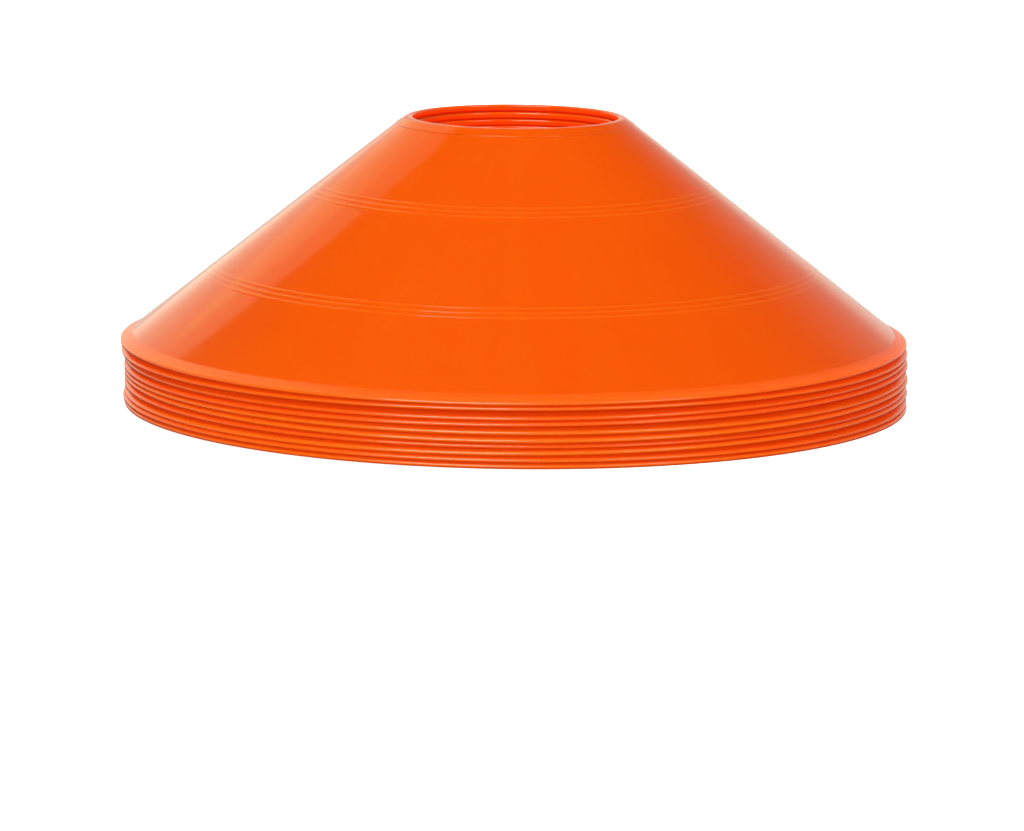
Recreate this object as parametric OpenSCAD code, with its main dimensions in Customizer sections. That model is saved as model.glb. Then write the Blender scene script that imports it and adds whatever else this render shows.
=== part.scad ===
// A stack of disc marker cones, nested one on another.
// The ground is z = 0 and the stack's centre line is the Z axis.
// Each cone is one thin moulded shell: a flat rim, a sloping wall and a collar round a hole.

/* [Stack] */
// Number of cones in the stack
cone_count = 10; // [1:1:20]

/* [Cone] */
// Outer diameter of the rim
base_d = 190; // [150:1:240]
// Height of one cone
cone_h = 55; // [45:1:70]
// Diameter of the hole at the top
hole_d = 49; // [30:1:60]
// Thickness of the wall, measured straight up
wall_v = 1.1; // [0.8:0.05:1.6]
// Free height between the walls of two nested cones
nest_gap = 0.5; // [0.4:0.05:1]

/* [Rim] */
// Width of the rim, from the wall's foot to the outer edge
rim_w = 2.5; // [2.4:0.1:5]
// Fillet between the rim and the foot of the wall
foot_fillet_r = 2; // [1:0.1:3]
// Rounding of the inner edge under the rim
heel_r = 1; // [0.5:0.1:1.2]

/* [Collar] */
// Width of the collar round the hole
collar_w = 4.7; // [4:0.1:8]
// Height from the collar's outer edge to the top
collar_drop = 2; // [1.6:0.1:3]
// How far the collar stands above the line of the wall
collar_step = 0.15; // [0.1:0.05:0.25]
// Width of the flat crown round the hole
crown_w = 1.6; // [1.4:0.1:2.4]
// Rounding where the crown turns down to the collar's slope
crown_r = 1.5; // [0.5:0.1:2]
// Rounding of the hole's upper edge
lip_top_r = 0.5; // [0.2:0.05:0.6]
// Rounding of the hole's lower edge
lip_under_r = 0.25; // [0.1:0.05:0.3]

/* [Grip ridges] */
// Height of the lower band of ridges
lower_band_z = 17.75; // [10:0.25:25]
// Height of the upper band of ridges
upper_band_z = 37.5; // [30:0.25:40]
// Number of ridges in a band
band_ridges = 3; // [1:1:5]
// Spacing of the ridges along the wall
ridge_pitch = 1.5; // [1:0.1:3]
// Diameter of a ridge's round bead
bead_d = 0.8; // [0.6:0.05:1]
// How far a bead stands out of the wall
bead_out = 0.15; // [0.05:0.01:0.2]

/* [Hidden] */
$fn = 96;

// The rim fills the whole step from one cone to the next, so nested rims lie face to face.
rim_t = wall_v + nest_gap;
nest_pitch = rim_t;
rim_edge_r = rim_t / 2;

// The wall's outer face is a straight line from the foot to the shoulder.
foot = [base_d / 2 - rim_w, rim_t];
shoulder = [hole_d / 2 + collar_w, cone_h - collar_drop];
wall_angle = atan2(shoulder.y - foot.y, foot.x - shoulder.x);
up_wall = [-cos(wall_angle), sin(wall_angle)];
out_of_wall = [sin(wall_angle), cos(wall_angle)];

// The inner face lies one wall thickness straight below it and meets the ground at the heel.
heel = [foot.x + nest_gap / tan(wall_angle), 0];
under_shoulder = shoulder - [0, wall_v];

// The collar and the crown keep one thickness, the wall's and the step together.
lip_t = wall_v + collar_step;
crown = [hole_d / 2 + crown_w, cone_h];
collar_edge = shoulder + [0, collar_step];
under_crown = crown - [0, lip_t];
hole_top = [hole_d / 2, cone_h];
hole_under = hole_top - [0, lip_t];

// Cutters run this far past the faces that they cut.
overrun = nest_gap / 2;
// An arc is cut this much full, so that it ends in a clean edge on each face.
arc_bite = overrun / 250;

function unit(v) = v / norm(v);
// Direction from a corner, halfway between its two neighbours.
function bisector(corner, a, b) = unit(unit(a - corner) + unit(b - corner));
function half_angle(corner, a, b) =
    acos(unit(a - corner) * bisector(corner, a, b));
// Distance from a corner to the points where an arc meets its two faces.
function tangent(corner, a, b, r) = r / tan(half_angle(corner, a, b));

module arc_disc(corner, a, b, r) {
    away = r / sin(half_angle(corner, a, b));
    translate(corner + bisector(corner, a, b) * away)
        circle(r + arc_bite);
}

// Fills an inside corner up to an arc that touches both faces.
module fillet(corner, a, b, r) {
    reach = tangent(corner, a, b, r);
    difference() {
        polygon([corner, corner + unit(a - corner) * reach, corner + unit(b - corner) * reach]);
        arc_disc(corner, a, b, r);
    }
}

// The waste that an outside corner loses when it is rounded.
module rounding(corner, a, b, r) {
    reach = tangent(corner, a, b, r);
    out = bisector(corner, a, b) * -overrun;
    on_a = corner + unit(a - corner) * reach;
    on_b = corner + unit(b - corner) * reach;
    difference() {
        polygon([on_a, on_a + out, corner + out, on_b + out, on_b]);
        arc_disc(corner, a, b, r);
    }
}

// Half of the cone's section with sharp corners: x is the radius and y the height.
module sharp_section() {
    rim_edge = base_d / 2 - rim_edge_r;
    polygon([
        heel, [rim_edge, 0], [rim_edge, rim_t], foot,
        shoulder, collar_edge, crown, hole_top,
        hole_under, under_crown, under_shoulder,
    ]);
    translate([rim_edge, rim_edge_r]) circle(rim_edge_r);
}

// One band of round ridges on the wall, centred on a height.
module ridge_band(band_z) {
    centre = foot + up_wall * (band_z - foot.y) / sin(wall_angle);
    sink = out_of_wall * (bead_d / 2 - bead_out);
    for (i = [0:band_ridges - 1])
        translate(centre + up_wall * ridge_pitch * (i - (band_ridges - 1) / 2) - sink)
            circle(bead_d / 2);
}

module cone_section() {
    difference() {
        union() {
            sharp_section();
            fillet(foot, [base_d / 2, foot.y], shoulder, foot_fillet_r);
            ridge_band(lower_band_z);
            ridge_band(upper_band_z);
        }
        rounding(heel, [base_d / 2, heel.y], under_shoulder, heel_r);
        rounding(crown, hole_top, collar_edge, crown_r);
        rounding(collar_edge, crown, shoulder, collar_step);
        rounding(hole_top, crown, hole_under, lip_top_r);
        rounding(hole_under, hole_top, under_crown, lip_under_r);
    }
}

// One cone of the stack, counted from the ground up.
module marker_cone(i) {
    color("orangered")
        translate([0, 0, i * nest_pitch])
            rotate_extrude() cone_section();
}

for (i = [0:cone_count - 1])
    marker_cone(i);
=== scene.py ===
# %% [markdown]
# # A stack of marker cones
# This notebook dresses a stack of ten low marker cones, the kind that is laid out on a sports field.
# Each cone is one thin moulding of soft orange plastic. The hole at its top lets a stack be carried
# on a post.
# A CAD model of the stack is loaded first, in metres. Every shell made here takes the place of one
# CAD cone, and it moves when that cone moves.

# %% Load the CAD model
import math
from collections import namedtuple

import bpy
import numpy as np
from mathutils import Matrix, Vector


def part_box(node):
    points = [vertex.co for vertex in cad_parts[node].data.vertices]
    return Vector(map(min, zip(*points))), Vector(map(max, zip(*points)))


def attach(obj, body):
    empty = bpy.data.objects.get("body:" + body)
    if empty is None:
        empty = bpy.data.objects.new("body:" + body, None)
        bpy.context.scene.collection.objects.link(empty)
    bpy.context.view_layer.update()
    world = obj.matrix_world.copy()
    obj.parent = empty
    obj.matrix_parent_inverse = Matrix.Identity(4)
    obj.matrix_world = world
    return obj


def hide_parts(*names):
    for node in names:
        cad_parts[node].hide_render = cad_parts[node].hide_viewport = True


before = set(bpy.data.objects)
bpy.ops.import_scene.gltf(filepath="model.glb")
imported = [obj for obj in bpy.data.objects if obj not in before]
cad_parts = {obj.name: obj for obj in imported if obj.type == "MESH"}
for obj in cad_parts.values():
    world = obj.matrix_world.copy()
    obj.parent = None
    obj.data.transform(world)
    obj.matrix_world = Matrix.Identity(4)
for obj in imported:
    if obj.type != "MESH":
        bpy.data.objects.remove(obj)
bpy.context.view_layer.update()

# %% [markdown]
# ## Read the stack's sizes
# The CAD model says how wide and how tall one cone is, and how far each one stands above the next.
# These could be typed in again, but then a change in the CAD model would leave the pictures behind.
# The radius is rounded, because the flat faces of a mesh fall a little short of the true circle.

# %% Measure the CAD cones
mm = 0.001
cad_names = sorted(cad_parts)
lowest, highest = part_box(cad_names[0])
second_lowest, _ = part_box(cad_names[1])
base_r = round(highest.x, 4)
cone_h = highest.z - lowest.z
nest_pitch = second_lowest.z - lowest.z
print(len(cad_names), "cones with a radius of", round(base_r / mm, 2), "mm")
print("Each is", round(cone_h / mm, 2), "mm high")
print("Each stands", round(nest_pitch / mm, 2), "mm above the one below")

# %% [markdown]
# ## Place the camera first
# The picture to match was taken with a long lens from well back, a little above the stack.
# A long lens flattens the depth, so the front and the back of the rim look almost equally curved.
# The camera is placed before anything is built, so that each piece can be judged from the right spot.
# It leans a fraction of a degree to one side, as a camera held by hand does.

# %% Camera
camera_distance = 1280 * mm
camera_height = 213.7 * mm
camera_right = -0.53 * mm
camera_pitch = math.radians(9.633)
camera_roll = math.radians(0.50)
lens_length = 189.1

camera_data = bpy.data.cameras.new("camera")
camera_data.lens = lens_length
camera_data.sensor_width = 36
camera_data.clip_end = 100
camera = bpy.data.objects.new("camera", camera_data)
camera.location = (camera_right, -camera_distance, camera_height)
camera.rotation_euler = (math.pi / 2 - camera_pitch, 0, 0)
camera.rotation_euler.rotate_axis("Z", camera_roll)
bpy.context.scene.collection.objects.link(camera)
bpy.context.scene.camera = camera
print("Camera", round(camera_distance, 3), "m away, with a lens of", round(lens_length), "mm")

# %% [markdown]
# ## A pale floor
# The stack stands on a plain white sheet, wide enough to fill the picture from every side.
# A flat disc is all that it needs. The sheet glows by itself, so that it stays white where the lamps
# don't reach. It is kept out of the plastic's reflections and sends no light up into it, so that
# the gaps between the rims keep their deep colour.

# %% Floor
floor_radius = 12.0
floor_sides = 96
sheet_white = (0.8, 0.8, 0.8, 1)
sheet_roughness = 0.9
sheet_shine = 0.1
sheet_glow = 0.9


def make_disc(name, radius, sides):
    """Adds a flat disc on the ground, as one face with many sides."""
    angles = [2 * math.pi * i / sides for i in range(sides)]
    points = [(radius * math.cos(a), radius * math.sin(a), 0) for a in angles]
    mesh = bpy.data.meshes.new(name)
    mesh.from_pydata(points, [], [list(range(sides))])
    made = bpy.data.objects.new(name, mesh)
    bpy.context.scene.collection.objects.link(made)
    return made


floor = make_disc("floor", floor_radius, floor_sides)
floor_finish = bpy.data.materials.new("white_sheet")
floor_finish.use_nodes = True
floor_shader = floor_finish.node_tree.nodes["Principled BSDF"]
floor_shader.inputs["Base Color"].default_value = sheet_white
floor_shader.inputs["Roughness"].default_value = sheet_roughness
floor_shader.inputs["Specular IOR Level"].default_value = sheet_shine
floor_shader.inputs["Emission Color"].default_value = (1, 1, 1, 1)
floor_shader.inputs["Emission Strength"].default_value = sheet_glow
floor.data.materials.append(floor_finish)
floor.visible_glossy = False
floor.visible_diffuse = False
print("Floor", floor.dimensions.x, "m across")

# %% [markdown]
# ## Light from a white studio
# The walls of the cone lean back, so the camera sees the room above and behind the stack in them.
# In the picture their middle is a deep clean orange and both flanks turn white.
# So the room is dark overhead and bright near the horizon, and the world is painted that way by
# height.
# The steps of brightness started from a least-squares fit to the colours of the picture, and were then
# changed.
# The half of the room behind the camera is dim, which keeps the front clean and deep in colour.

# %% World
# Each pair is an angle above the horizon in degrees and how bright the room is there.
room_glow = [
    (-90, 0.04), (-9, 0.06), (-6, 0.7), (1, 0.85), (6, 0.8),
    (12, 0.48), (20, 0.33), (28, 0.17), (36, 0.06), (48, 0.01),
]
room_green = 0.98
room_blue = 0.85
# A direction's Y is -1 behind the camera and 1 behind the stack. The room brightens in between.
dim_until = -0.35
bright_from = 0.25
dim_share = 0.2

world = bpy.data.worlds.new("white_studio")
world.use_nodes = True
bpy.context.scene.world = world
sky = world.node_tree.nodes
sky_links = world.node_tree.links
direction = sky.new("ShaderNodeTexCoord")
split = sky.new("ShaderNodeSeparateXYZ")
behind = sky.new("ShaderNodeMapRange")
behind.inputs["From Min"].default_value = dim_until
behind.inputs["From Max"].default_value = bright_from
behind.inputs["To Min"].default_value = dim_share
behind.inputs["To Max"].default_value = 1.0
halve = sky.new("ShaderNodeMath")
halve.operation = "MULTIPLY_ADD"
halve.inputs[1].default_value = 0.5
halve.inputs[2].default_value = 0.5
ramp = sky.new("ShaderNodeValToRGB")
sky_links.new(direction.outputs["Generated"], split.inputs["Vector"])
sky_links.new(split.outputs["Z"], halve.inputs[0])
sky_links.new(split.outputs["Y"], behind.inputs["Value"])
sky_links.new(behind.outputs["Result"], sky["Background"].inputs["Strength"])
sky_links.new(halve.outputs["Value"], ramp.inputs["Fac"])
sky_links.new(ramp.outputs["Color"], sky["Background"].inputs["Color"])
stops = ramp.color_ramp.elements
for i, (angle, glow) in enumerate(room_glow):
    place = (1 + math.sin(math.radians(angle))) / 2
    stop = stops[i] if i < len(stops) else stops.new(place)
    stop.position = place
    stop.color = (glow, room_green * glow, room_blue * glow, 1)
print("World with", len(stops), "steps of brightness")

# %% [markdown]
# ## A softbox
# Plastic shows a light twice: as the colour that it wakes in the surface, and as its own mirror image.
# A softbox is a rectangle of light that faces the stack from some way off.
# Its place is easier to think of as a bearing, a height angle and a distance than as X, Y and Z.
# A lamp's power is spread over its area, so the power here grows with the area, and a larger box is
# as bright to look at as a small one.

# %% Softbox
def softbox(name, bearing, height_angle, distance, width, tall, glow, lean=0.0, tint=(1, 1, 1)):
    """Adds a rectangle of light. Bearing 0 is behind the camera and 90 is on the right.

    The bearing, the height angle and the lean are in degrees, and the lengths in metres.
    """
    data = bpy.data.lights.new(name, "AREA")
    data.shape = "RECTANGLE"
    data.size = width
    data.size_y = tall
    data.energy = glow * math.pi * width * tall
    data.color = tint
    box = bpy.data.objects.new(name, data)
    around = math.radians(bearing)
    up = math.radians(height_angle)
    away = np.array([math.sin(around) * math.cos(up), -math.cos(around) * math.cos(up), math.sin(up)])
    box.location = away * distance
    box.rotation_euler = box.location.to_track_quat("Z", "Y").to_euler()
    box.rotation_euler.rotate_axis("Z", math.radians(lean))
    box.visible_camera = False
    bpy.context.scene.collection.objects.link(box)
    return box


def overhead_glow(name, strength, spread):
    """Adds soft light from straight above that reaches the whole floor evenly."""
    data = bpy.data.lights.new(name, "SUN")
    data.energy = strength * math.pi
    data.angle = math.radians(spread)
    glow = bpy.data.objects.new(name, data)
    bpy.context.scene.collection.objects.link(glow)
    return glow


print("Softbox and overhead glow ready")

# %% [markdown]
# ## Light the stack
# The key light stands high on the left. Only the rounded edges face halfway between it and the camera,
# so it draws fine bright lines along the rims and the collar and leaves the walls clean.
# A weaker box on the right does the same there.
# The fills only add colour, so they and the ceiling are kept out of the mirror. A low one in front
# reaches into the gaps between the rims. A red one far round on the right lights the side where the
# plastic in the picture turns a purer red. One behind keeps the back from going dark.
# Two small panels stand close behind on the left and lean a little. The left flank mirrors them,
# with a crisp edge where each one ends.

# %% Lights
panel_lean = 5.7
ceiling = overhead_glow("ceiling", strength=0.12, spread=100)
key = softbox(
    "key", bearing=-25, height_angle=55, distance=2.2, width=1.2, tall=1.2, glow=9.0
)
right_box = softbox(
    "right_box", bearing=50, height_angle=50, distance=2.2, width=0.8, tall=0.8, glow=5.0
)
warm_fill = softbox(
    "warm_fill", bearing=90, height_angle=6, distance=2.2, width=1.6, tall=0.6, glow=4.6,
    tint=(1.0, 0.25, 0.12),
)
front_fill = softbox(
    "front_fill", bearing=-12, height_angle=10, distance=2.2, width=2.4, tall=1.0, glow=3.6
)
back_fill = softbox(
    "back_fill", bearing=180, height_angle=40, distance=2.2, width=2.0, tall=1.2, glow=2.5
)
left_panel = softbox(
    "left_panel", bearing=211.0, height_angle=33.3, distance=0.40, width=0.24, tall=0.42,
    glow=0.47, lean=panel_lean, tint=(1.0, 0.97, 0.62),
)
inner_panel = softbox(
    "inner_panel", bearing=207.6, height_angle=41.0, distance=0.41, width=0.20, tall=0.24,
    glow=0.25, lean=panel_lean, tint=(1.0, 0.92, 0.2),
)
for light in (ceiling, front_fill, back_fill, warm_fill):
    light.visible_glossy = False
mirrored = [light.name for light in (key, right_box, left_panel, inner_panel)]
print("Seen in the mirror of the plastic:", mirrored)

# %% [markdown]
# ## The section of one cone
# A cone like this is a turned shape, so its whole form is one outline spun round the centre line.
# The outline is a list of corners, and each corner has a radius, because nothing that comes out of a
# mould is sharp. Writing the corners with their radii keeps the drawing short, and the arcs are
# worked out from them in the next step.
# The rim is the thin sloping strip outside the foot of the wall. The collar is the step round the hole.

# %% Corners of the section
rim_r = base_r - 0.5 * mm
rim_under_r = rim_r - 0.2 * mm
rim_edge_h = 0.66 * mm
wall_foot_r = rim_r - 3.0 * mm
wall_v = 0.95 * mm
wall_slope = 0.803
wall_bulge = 0.25 * mm
hole_r = 24.6 * mm
crown_h = cone_h - 0.3 * mm
crown_w = 1.6 * mm
lip_t = 1.4 * mm
collar_r = 28.5 * mm
collar_drop = 2.0 * mm
collar_step = 0.15 * mm
shoulder = np.array([collar_r, cone_h - collar_drop])

lip_rounding = 0.5 * mm
crown_rounding = 1.5 * mm
collar_rounding = 0.12 * mm
shoulder_rounding = 0.05 * mm
foot_rounding = 1.0 * mm
rim_rounding = 0.6 * mm
heel_rounding = 0.1 * mm
inner_rounding = 0.6 * mm
lip_under_rounding = 0.35 * mm

Corner = namedtuple("Corner", "r z rounding")


def wall_top_at(r):
    """Height of the wall's outer face at a radius."""
    return shoulder[1] + (shoulder[0] - r) * wall_slope


# The outside from the hole down to the rim, and then the inside back up to the hole.
section_corners = [
    Corner(hole_r, crown_h, lip_rounding),
    Corner(hole_r + crown_w, crown_h, crown_rounding),
    Corner(collar_r, shoulder[1] + collar_step, collar_rounding),
    Corner(collar_r, shoulder[1], shoulder_rounding),
    Corner(wall_foot_r, wall_top_at(wall_foot_r), foot_rounding),
    Corner(rim_r, rim_edge_h, rim_rounding),
    Corner(rim_under_r, 0, heel_rounding),
    Corner(wall_foot_r, wall_top_at(wall_foot_r) - wall_v, foot_rounding),
    Corner(collar_r, shoulder[1] - wall_v, inner_rounding),
    Corner(hole_r + crown_w, crown_h - lip_t, inner_rounding),
    Corner(hole_r, crown_h - lip_t, lip_under_rounding),
]
print("Section with", len(section_corners), "corners")
print("The wall slopes at", round(math.degrees(math.atan(wall_slope)), 1), "degrees")

# %% [markdown]
# ## Round the corners
# Each corner is replaced by the arc that touches both of its edges.
# The arc starts at a distance from the corner: the radius divided by the tangent of half the
# corner's angle. The points between its ends are spaced evenly along the arc.

# %% Arcs
arc_step = math.radians(9)
fewest_steps = 3


def unit(v):
    """The same direction with a length of 1."""
    return v / np.linalg.norm(v)


def rounded(corner, before, after, radius):
    """Points of the arc that rounds a corner, from the side of before to the side of after."""
    to_before, to_after = unit(before - corner), unit(after - corner)
    half = math.acos(np.clip(to_before @ to_after, -1, 1)) / 2
    reach = radius / math.tan(half)
    centre = corner + unit(to_before + to_after) * radius / math.sin(half)
    start = corner + to_before * reach - centre
    end = corner + to_after * reach - centre
    turn = math.pi - 2 * half
    steps = max(fewest_steps, math.ceil(turn / arc_step))
    shares = np.linspace(0, 1, steps + 1)[:, None]
    from_start = start * np.sin((1 - shares) * turn)
    to_end = end * np.sin(shares * turn)
    return centre + (from_start + to_end) / math.sin(turn)


def outline_of(corners):
    """The whole outline as a list of runs of points, one run for each corner."""
    points = [np.array([c.r, c.z]) for c in corners]
    befores = points[-1:] + points[:-1]
    afters = points[1:] + points[:1]
    return [
        rounded(point, before, after, c.rounding)
        for point, before, after, c in zip(points, befores, afters, corners)
    ]


corner_runs = outline_of(section_corners)
print("Arcs with", [len(run) for run in corner_runs], "points")

# %% [markdown]
# ## Grip ridges
# Two bands of three fine ridges run round the wall, so that fingers can part a cone from the stack.
# Each ridge is a low soft wave, less than a tenth of a millimetre out of the wall, and it is seen by
# how it catches the light.
# A cosine wave is used because it meets the wall smoothly, as a ridge cut into a mould with a round
# tool does.

# %% Ridges on the wall
lower_band_z = 17.75 * mm
upper_band_z = 37.5 * mm
ridge_pitch = 1.5 * mm
ridge_w = 0.93 * mm
ridge_h = 0.06 * mm
ridge_points = 9
down_wall = unit(np.array([1.0, -wall_slope]))
out_of_wall = np.array([-down_wall[1], down_wall[0]])


def ridge(centre):
    """Points of one ridge, from its upper side to its lower side."""
    along = np.linspace(-0.5, 0.5, ridge_points)[:, None]
    rise = (1 + np.cos(2 * math.pi * along)) / 2
    return centre + down_wall * along * ridge_w + out_of_wall * rise * ridge_h


def ridge_band(band_z):
    """Three ridges side by side, with the middle one at a height on the wall."""
    middle = np.array([shoulder[0] + (shoulder[1] - band_z) / wall_slope, band_z])
    return [ridge(middle + down_wall * ridge_pitch * step) for step in (-1, 0, 1)]


wall_ridges = ridge_band(upper_band_z) + ridge_band(lower_band_z)
print(len(wall_ridges), "ridges,", ridge_points, "points each")

# %% [markdown]
# ## Join the runs into one outline
# Between two arcs there can be a long straight stretch. Smooth shading would bend across it, so each
# stretch gets a point close to both of its ends, and a few between.
# The points between also let the wall bulge and warp gently later on.
# The fifth run is the arc at the foot of the wall, and the ridges come just before it.

# %% Straight stretches
hold_back = 0.12 * mm
longest_step = 7 * mm
wall_foot_run = 4


def stretch(start, end):
    """Points strictly between start and end: one close to each end, and evenly spaced ones between."""
    length = np.linalg.norm(end - start)
    if length < 3 * hold_back:
        return np.empty((0, 2))
    count = max(2, math.ceil(length / longest_step) + 1)
    inner = np.linspace(hold_back, length - hold_back, count)
    return start + unit(end - start) * inner[:, None]


runs = corner_runs[:wall_foot_run] + wall_ridges + corner_runs[wall_foot_run:]
section = []
for run, next_run in zip(runs, runs[1:] + runs[:1]):
    section.append(run)
    section.append(stretch(run[-1], next_run[0]))
section = np.concatenate(section)
print("Outline of", len(section), "points")

# %% [markdown]
# ## Bulge the wall
# In the picture the wall isn't quite straight: it stands out a little at the middle of its slope.
# A parabola gives this, because it is zero at both ends and one in the middle.
# The ridges are marked first, while how far a point stands out of the straight wall still tells a
# ridge from the wall. The material reads the mark later.

# %% The finished outline
wall_margin = 1 * mm
on_wall = section[:, 0] > collar_r + wall_margin
on_wall &= section[:, 0] < wall_foot_r - wall_margin
stands_out = (section - shoulder) @ out_of_wall
ridge_mark = np.clip(stands_out / ridge_h, 0, 1) * on_wall

along_wall = np.clip((section[:, 0] - collar_r) / (wall_foot_r - collar_r), 0, 1)
section += out_of_wall * (wall_bulge * 4 * along_wall * (1 - along_wall))[:, None]
print("The outline reaches", round(section[:, 0].max() / mm, 2), "mm from the centre line")
print(int((ridge_mark > 0.5).sum()), "of its points are on the crests of ridges")

# %% [markdown]
# ## How each cone sits
# Ten equal rings look like a drawing. Real soft cones slide a little sideways, and their thin rims
# are never quite flat.
# Each cone gets its own small shift, lift and warp, so that the rims fan and pinch as the picture shows.
# The shifts, the drops and the growth of the rims were given one by one. The lifts, tilts and warps were
# not: a least-squares fit to the dark lines between the rims worked them out, and they were then rounded
# to a twentieth of a millimetre.
# The cones still clear each other, though in places by less than a tenth of a millimetre.

# %% Seats
# All in millimetres, from the ground up. Edge and hole shift to the right, and the hole drops.
# Lift, tilt and warp move the rim: tilt raises its right side, and warp its front and back.
Seat = namedtuple("Seat", "edge_shift hole_shift hole_drop lift tilt warp rim_grow")
seats = [
    Seat(0.25, 0.20, 0.45, 0.20, -0.20, -0.05, -0.25),
    Seat(0.10, 0.10, 0.45, -0.10, -0.20, 0.00, -0.15),
    Seat(0.30, 0.15, 0.45, -0.05, 0.40, -0.10, -0.25),
    Seat(0.15, 0.10, 0.45, -0.05, -0.05, -0.10, -0.40),
    Seat(0.35, 0.10, 0.45, -0.05, 0.00, -0.45, -0.20),
    Seat(0.20, 0.00, 0.45, -0.20, 0.00, -0.10, -0.35),
    Seat(0.30, -0.10, 0.45, 0.05, 0.60, -0.05, -0.20),
    Seat(0.20, -0.25, 0.45, -0.05, 0.35, -0.20, -0.40),
    Seat(-0.10, -0.55, 0.30, 0.25, 0.20, 0.20, 0.05),
    Seat(-0.30, -0.35, 0.05, 0.40, 0.10, -0.35, 0.10),
]
print(len(seats), "seats")

# %% [markdown]
# ## Spin and bend
# The outline is turned through a full circle in even steps, and the last ring joins the first.
# A screw modifier could do the turning too. Here the points are worked out directly, because each
# cone's bend is added to them at once.
# The bend starts about halfway to the rim and grows with the square of the distance from there, so
# that the hole stays level.

# %% Points and faces of a cone
round_steps = 256
flex_from_r = 45 * mm


def spun_points(seat, base_z):
    """All the points of one cone, one ring of the section after another."""
    angles = np.linspace(0, 2 * math.pi, round_steps, endpoint=False)[:, None]
    r, z = section[:, 0][None, :], section[:, 1][None, :]
    rim_share = np.clip((r - wall_foot_r) / (rim_r - wall_foot_r), 0, 1)
    flex_share = np.clip((r - flex_from_r) / (rim_r - flex_from_r), 0, 1) ** 2
    grown = r + seat.rim_grow * mm * rim_share
    rise = z / cone_h
    shift = (seat.edge_shift * (1 - rise) + seat.hole_shift * rise) * mm
    bend = seat.lift + seat.tilt * np.cos(angles) - seat.warp * np.cos(2 * angles)
    x = grown * np.cos(angles) + shift
    y = grown * np.sin(angles)
    up = z + base_z + bend * mm * flex_share - seat.hole_drop * mm * rise ** 2
    return np.stack([x, y, up * np.ones_like(x)], axis=2).reshape(-1, 3)


def spun_faces():
    """Four-sided faces, each between two points of a ring and the two beside them on the next ring."""
    count = len(section)
    ring = np.arange(round_steps)[:, None] * count
    next_ring = (np.arange(round_steps)[:, None] + 1) % round_steps * count
    point = np.arange(count)[None, :]
    next_point = (point + 1) % count
    corners = [ring + point, ring + next_point, next_ring + next_point, next_ring + point]
    return np.stack(corners, axis=2).reshape(-1, 4)


print("Each cone has", round_steps * len(section), "points")

# %% [markdown]
# ## Marks for the material
# The plastic looks different on the rim, on the lip of the hole and underneath.
# Painting these places by hand would be slow, so each point of the outline carries a few numbers
# between 0 and 1 that say how much it belongs to a place. The material reads them as attributes.
# Most of them fade over a few tenths of a millimetre, so that the place ends softly.

# %% Marks along the outline
def fade(values, start, end):
    """Goes from 0 at start to 1 at end."""
    return np.clip((values - start) / (end - start), 0, 1)


# Each pair is where a mark is 0 and where it reaches 1, as a radius or as a height.
rim_radii = (wall_foot_r - 0.2 * mm, wall_foot_r + 0.4 * mm)
rim_heights = (rim_edge_h - 0.4 * mm, rim_edge_h - 0.1 * mm)
inner_rim_radii = (rim_r - 0.3 * mm, rim_r - 0.8 * mm)
brim_radii = (rim_r - 0.95 * mm, rim_r - 0.4 * mm)
lip_radii = (hole_r + 1.0 * mm, hole_r + 0.3 * mm)
lip_heights = (crown_h - 0.45 * mm, crown_h - 0.1 * mm)
outer_edge_r = rim_r - 0.8 * mm
inner_edge_r = hole_r + 0.3 * mm
edge_matt_share = 0.4
thin_edge_share = 0.2

# The outline runs down the outside to its lowest point and comes back up the inside.
section_r, section_z = section.T
outside_count = int(np.argmin(section_z))
under_mark = (np.arange(len(section)) > outside_count).astype(float)

# The top of the rim, without its rounded edge. It is matt, but less so near the edge.
rim_mark = fade(section_r, *rim_radii)
rim_mark *= fade(section_z, *rim_heights) * (1 - under_mark)
inner_rim = fade(section_r, *inner_rim_radii)
matt_mark = rim_mark * (edge_matt_share + (1 - edge_matt_share) * inner_rim)

# The brim is the outermost strip of the rim's top.
brim_mark = rim_mark * fade(section_r, *brim_radii)

# The lip is the rounded top of the hole's wall.
lip_mark = fade(section_r, *lip_radii)
lip_mark *= fade(section_z, *lip_heights) * (1 - under_mark)

# All of the underside, and a little of its outer and inner edge, get a painted red and a painted glow,
# for the light that leaves the plastic there and the shade in the gaps.
on_edge = np.maximum(section_r > outer_edge_r, section_r < inner_edge_r)
edge_mark = np.maximum(under_mark, thin_edge_share * on_edge * (1 - rim_mark))
edge_mark = np.minimum(edge_mark, 1 - lip_mark)

marks = {
    "rim": rim_mark,
    "lip": lip_mark,
    "underside": under_mark,
    "edge": edge_mark,
    "matt": matt_mark,
    "brim": brim_mark,
    "ridge": ridge_mark,
}
print("Marks:", {name: round(float(values.mean()), 2) for name, values in marks.items()})

# %% [markdown]
# ## One cone's mesh
# The points and faces become a mesh, and the marks are stored on its points.
# Every ring has the same marks, so the list for one section is repeated once for each ring.

# %% One cone
def spin_cone(name, seat, base_z):
    """Makes one cone of the stack, with its marks."""
    mesh = bpy.data.meshes.new(name)
    mesh.from_pydata(spun_points(seat, base_z).tolist(), [], spun_faces().tolist())
    mesh.shade_smooth()
    for mark_name, values in marks.items():
        mark = mesh.attributes.new(mark_name, "FLOAT", "POINT")
        mark.data.foreach_set("value", np.tile(values, round_steps))
    made = bpy.data.objects.new(name, mesh)
    bpy.context.scene.collection.objects.link(made)
    return made


print("Ready to spin a cone with", len(marks), "marks")

# %% [markdown]
# ## Orange plastic
# The cones are moulded in soft polythene. It is glossy without being a mirror, and light can enter it.
# Light that enters spreads sideways, so thin edges and narrow gaps glow red instead of going black.
# A material in Blender is a small graph of nodes. These helpers add one node at a time and wire it up.

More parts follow.
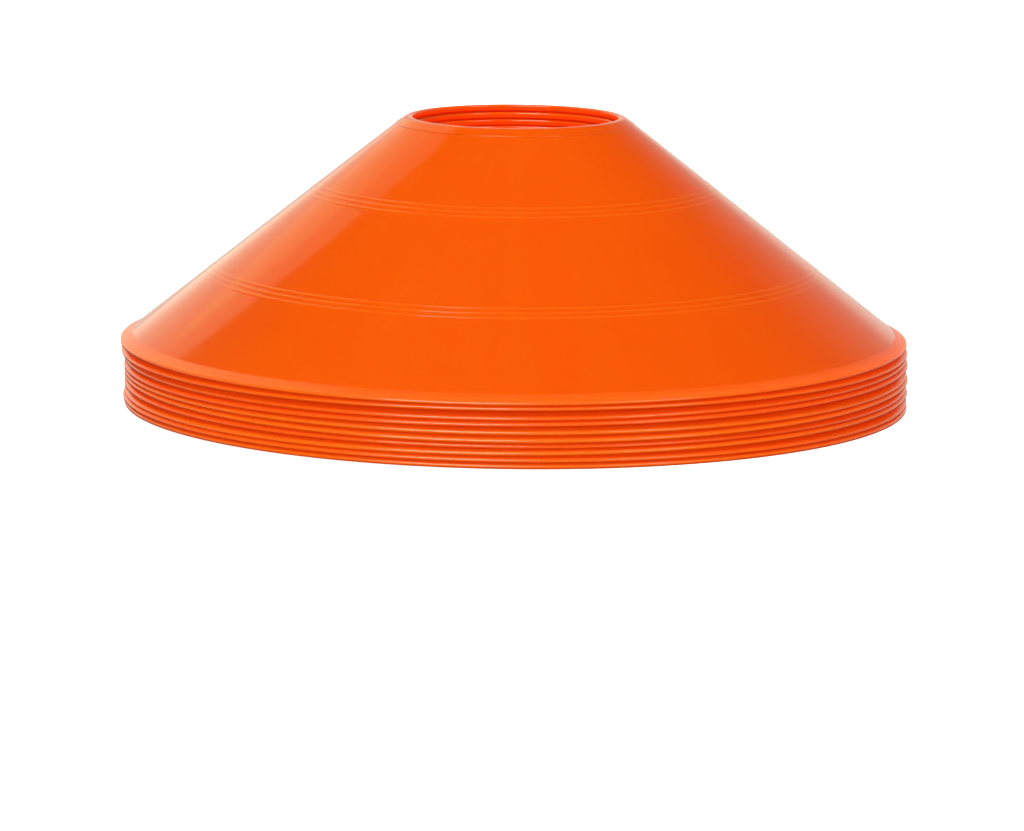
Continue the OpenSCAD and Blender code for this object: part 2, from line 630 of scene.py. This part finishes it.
# %% Node helpers
class Graph:
    """A material's node graph, with short ways to add nodes."""

    def __init__(self, name):
        self.material = bpy.data.materials.new(name)
        self.material.use_nodes = True
        self.nodes = self.material.node_tree.nodes
        self.links = self.material.node_tree.links
        self.shader = self.nodes["Principled BSDF"]

    def feed(self, socket, value):
        """Puts a number, a colour or another node's output into a socket."""
        if isinstance(value, bpy.types.NodeSocket):
            self.links.new(value, socket)
        else:
            socket.default_value = value

    def calculate(self, operation, first, second=0.0, third=0.0):
        """One step of arithmetic."""
        node = self.nodes.new("ShaderNodeMath")
        node.operation = operation
        for socket, value in zip(node.inputs, (first, second, third)):
            self.feed(socket, value)
        return node.outputs["Value"]

    def noise(self, place, scale, detail):
        """Soft random numbers around a half. A larger scale gives smaller spots."""
        node = self.nodes.new("ShaderNodeTexNoise")
        self.feed(node.inputs["Vector"], place)
        node.inputs["Scale"].default_value = scale
        node.inputs["Detail"].default_value = detail
        return node.outputs["Fac"]

    def spread(self, value, low_in, high_in, low_out, high_out):
        """Stretches a range of numbers to another range and stops at its ends."""
        node = self.nodes.new("ShaderNodeMapRange")
        self.feed(node.inputs["Value"], value)
        node.inputs["From Min"].default_value = low_in
        node.inputs["From Max"].default_value = high_in
        node.inputs["To Min"].default_value = low_out
        node.inputs["To Max"].default_value = high_out
        return node.outputs["Result"]

    def blend(self, share, first, second):
        """Goes from the first colour at a share of 0 to the second at 1."""
        node = self.nodes.new("ShaderNodeMix")
        node.data_type = "RGBA"
        self.feed(node.inputs["Factor"], share)
        self.feed(node.inputs["A"], first)
        self.feed(node.inputs["B"], second)
        return node.outputs["Result"]

    def mark(self, name):
        """Reads one of the marks that the mesh carries."""
        node = self.nodes.new("ShaderNodeAttribute")
        node.attribute_name = name
        return node.outputs["Fac"]


print("Node helpers ready")

# %% [markdown]
# ## Where the plastic flowed
# Melted plastic flows from the hole outwards, which leaves very faint streaks down the wall.
# The streaks come from noise that is read on a circle round the cone and at its radius. So they have
# no seam, and they grow wider towards the rim.
# The seed moves the circle in the noise, so that no two cones have the same streaks.

# %% Flow of the plastic
def flow_place(graph, seed):
    """The point itself, and its place along the flow: its direction from the middle and its radius."""
    spot = graph.nodes.new("ShaderNodeTexCoord").outputs["Object"]
    axes = graph.nodes.new("ShaderNodeSeparateXYZ")
    graph.feed(axes.inputs["Vector"], spot)
    squares = [graph.calculate("MULTIPLY", axes.outputs[n], axes.outputs[n]) for n in "XY"]
    r = graph.calculate("SQRT", graph.calculate("ADD", *squares))
    around = [graph.calculate("DIVIDE", axes.outputs[n], r) for n in "XY"]
    place = graph.nodes.new("ShaderNodeCombineXYZ")
    graph.feed(place.inputs["X"], graph.calculate("ADD", around[0], seed))
    graph.feed(place.inputs["Y"], around[1])
    graph.feed(place.inputs["Z"], r)
    return spot, place.outputs["Vector"]


print("Flow helper ready")

# %% [markdown]
# ## Colour of the plastic
# The wall is a deep orange, with faint clouds of a redder one and streaks of a yellower one.
# The rim's top, the lip and the crests of the ridges are painted a lighter, yellower orange. This is
# painted light for the light they catch from the lamps above, and on the ridges it is a painted
# highlight. The lip is also thicker than the wall.
# The underside and the edges are painted a deeper red. This is painted light and shade: it stands for
# the light that travels inside the thin plastic and leaves there, and for the red shade in the gaps
# between the rims.
# Each cone's tone moves all of its colours a little towards yellow or red, as batches differ.

# %% Colours
wall_orange = (0.70, 0.082, 0.002, 1)
deep_orange = (0.68, 0.070, 0.001, 1)
# The next two colours are painted light: a painted highlight on the ridge crests, and painted light on
# the rim's top and the lip.
ridge_crest_highlight = (0.75, 0.125, 0.005, 1)
top_lit_orange = (0.73, 0.095, 0.003, 1)
# The last colour is a painted red, for light inside the plastic and shade in the gaps.
painted_edge_red = (0.95, 0.055, 0.001, 1)
cloud_scale = 30.0
cloud_range = (0.3, 0.7)
cloud_share = 0.5
streak_scale = 9.0
streak_range = (0.35, 0.65)
streak_share = 0.35
streak_tone = 0.08
noise_detail = 3.0
ridge_highlight_share = 0.6
top_lit_share = 0.9


def tinted(colour, tone):
    """The colour moved towards yellow where tone is above 0, and towards red below it."""
    return (colour[0], colour[1] * (1 + tone), colour[2], 1)


def plastic_colour(graph, spot, flow, tone):
    """Orange with clouds and streaks, painted lighter on the rim's top, the lip and the ridge crests,
    and painted deep red on the underside and the edges.
    """
    clouds = graph.noise(spot, cloud_scale, noise_detail)
    clouds = graph.spread(clouds, *cloud_range, 0.0, cloud_share)
    streaks = graph.noise(flow, streak_scale, noise_detail)
    streaks = graph.spread(streaks, *streak_range, 0.0, streak_share)
    wall = graph.blend(clouds, tinted(wall_orange, tone), tinted(deep_orange, tone))
    wall = graph.blend(streaks, wall, tinted(wall_orange, tone + streak_tone))
    # Painted highlight along the crests of the ridges.
    ridges = graph.calculate("MULTIPLY", graph.mark("ridge"), ridge_highlight_share)
    wall = graph.blend(ridges, wall, tinted(ridge_crest_highlight, tone))
    # Painted light on the rim's top and the lip.
    top_lit = graph.calculate("MAXIMUM", graph.mark("rim"), graph.mark("lip"))
    top_lit = graph.calculate("MULTIPLY", top_lit, top_lit_share)
    top = graph.blend(top_lit, wall, tinted(top_lit_orange, tone))
    # Painted red on the underside and the edges.
    return graph.blend(graph.mark("edge"), top, tinted(painted_edge_red, tone))


print("Wall", wall_orange[:3], "rim", top_lit_orange[:3])

# %% [markdown]
# ## Gloss and fine relief
# A new moulding is smooth, but the mould's own surface leaves a fine orange peel and slow waves, and
# stacking rubs faint rings. The rim and the underside are duller than the wall.
# The peel is less than a hundredth of a millimetre high, and the waves are long and low, so a bump
# is enough for both. The rings come from noise that changes fast with the radius and slowly round it.

# %% Finish of the surface
ring_stretch = (3.0, 3.0, 900.0)
rubbed_range = (0.5, 0.8)
wall_roughness = 0.07
rubbed_roughness = 0.06
matt_roughness = 0.3
underside_roughness = 0.15
peel_scale = 1400.0
peel_detail = 2.0
wave_scale = 28.0
wave_detail = 1.0
wave_height = 12.0
bump_strength = 0.2
bump_distance = 0.01 * mm


def plastic_gloss(graph, flow):
    """Roughness of the surface: low on the wall, higher where it is rubbed, matt or underneath."""
    rings = graph.nodes.new("ShaderNodeVectorMath")
    rings.operation = "MULTIPLY"
    graph.feed(rings.inputs[0], flow)
    rings.inputs[1].default_value = ring_stretch
    scuffs = graph.noise(rings.outputs["Vector"], 1.0, noise_detail)
    rubbed = graph.spread(scuffs, *rubbed_range, 0.0, rubbed_roughness)
    rough = graph.calculate("ADD", rubbed, wall_roughness)
    rough = graph.calculate("MULTIPLY_ADD", graph.mark("matt"), matt_roughness, rough)
    return graph.calculate("MULTIPLY_ADD", graph.mark("underside"), underside_roughness, rough)


def plastic_relief(graph, spot):
    """Slow waves with a fine peel on them."""
    peel = graph.noise(spot, peel_scale, peel_detail)
    waves = graph.noise(spot, wave_scale, wave_detail)
    height = graph.calculate("MULTIPLY_ADD", waves, wave_height, peel)
    bump = graph.nodes.new("ShaderNodeBump")
    bump.inputs["Strength"].default_value = bump_strength
    bump.inputs["Distance"].default_value = bump_distance
    graph.feed(bump.inputs["Height"], height)
    return bump.outputs["Normal"]


print("Roughness from", wall_roughness, "on the wall to", wall_roughness + matt_roughness, "on the rim")

# %% [markdown]
# ## Light inside the plastic
# Subsurface scattering lets light spread under the surface, and red spreads furthest.
# In the picture the gaps between the rims glow a deep red, more than scattering alone gives in so thin a
# piece. So the underside, the edges, the rim's top and the brim also get a weak glow of their own. This
# glow is painted light: red for the light in the gaps, and orange on the brim for the light on the rim's
# outer strip. Its strength is chosen to match the picture. The real plastic gives off no light.

# %% The whole material
# Both glows are painted light; the plastic itself gives off none.
painted_edge_glow = (0.26, 0.011, 0.0, 1)
painted_brim_glow = (0.18, 0.030, 0.002, 1)
rim_glow_share = 0.3
scatter_weight = 0.3
scatter_radius = (1.0, 0.2, 0.05)
scatter_scale = 1.2 * mm


def painted_plastic_glow(graph):
    """A painted glow: deep red on the underside, the edges and the rim's top, and orange on the brim."""
    thin = graph.calculate("MULTIPLY_ADD", graph.mark("rim"), rim_glow_share, graph.mark("edge"))
    glow = graph.blend(thin, (0, 0, 0, 1), painted_edge_glow)
    return graph.blend(graph.mark("brim"), glow, painted_brim_glow)


def orange_plastic(name, tone, seed):
    """The finish of one cone."""
    graph = Graph(name)
    spot, flow = flow_place(graph, seed)
    inputs = graph.shader.inputs
    graph.feed(inputs["Base Color"], plastic_colour(graph, spot, flow, tone))
    graph.feed(inputs["Roughness"], plastic_gloss(graph, flow))
    graph.feed(inputs["Normal"], plastic_relief(graph, spot))
    graph.feed(inputs["Emission Color"], painted_plastic_glow(graph))
    inputs["Emission Strength"].default_value = 1.0
    inputs["Subsurface Weight"].default_value = scatter_weight
    inputs["Subsurface Radius"].default_value = scatter_radius
    inputs["Subsurface Scale"].default_value = scatter_scale
    return graph.material


print("Red light spreads about", round(scatter_radius[0] * scatter_scale / mm, 2), "mm in the plastic")

# %% [markdown]
# ## Make the stack
# Each new cone is named as a shell. It stands for the CAD cone that it hides, gets its own orange
# plastic, and rides on that cone's own body.
# The tones are set so that neighbouring rims differ a little, as they do in the picture.

# %% Ten shells
tones = [0.14, -0.05, 0.14, -0.20, 0.12, 0.16, -0.20, -0.12, 0.00, 0.00]
seed_step = 7.3
for i, (cad_name, seat, tone) in enumerate(zip(cad_names, seats, tones)):
    number = cad_name[-2:]
    shell = spin_cone("shell_" + number, seat, lowest.z + i * nest_pitch)
    shell.data.materials.append(orange_plastic("orange_plastic_" + number, tone, i * seed_step))
    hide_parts(cad_name)
    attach(shell, cad_name)
print("Made", len(seats), "shells")

# %% [markdown]
# ## Colour
# The picture shows its colours straight, with no film curve, so the standard view transform is used.

# %% Finish
bpy.context.scene.view_settings.view_transform = "Standard"
